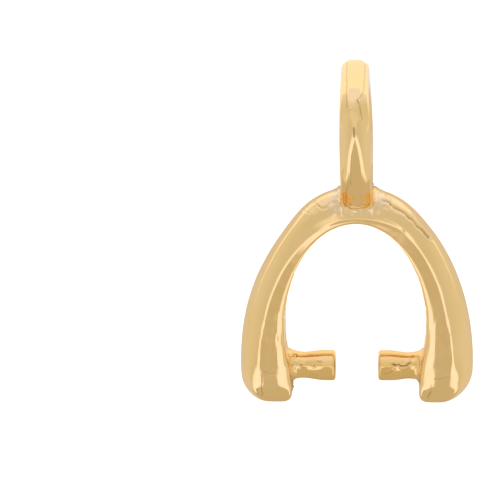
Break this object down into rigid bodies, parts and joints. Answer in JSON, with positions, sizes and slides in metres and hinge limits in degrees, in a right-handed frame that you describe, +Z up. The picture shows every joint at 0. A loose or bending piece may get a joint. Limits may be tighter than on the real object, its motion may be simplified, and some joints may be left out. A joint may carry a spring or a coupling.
{
  "type": "pinch bail finding",
  "caption": "Gold pinch bail: a domed arch whose legs end in inward pegs that close on a drilled stone, with a soldered ring on top for a chain.",
  "frame": {"origin": "centre of the bail's footprint, on the surface that it lies on", "axes": "the bail lies on its back: +X across the two legs, +Y from the feet towards the ring, +Z up, towards the bail's front"},
  "size_m": [0.01, 0.0148, 0.006],
  "materials": {
    "polished_gold": "polished gold plating, softened by the polishing wheel, with as-cast inner faces and a paler solder seam"
  },
  "bodies": {
    "root": {"bail": "polished_gold"}
  },
  "joints": []
}
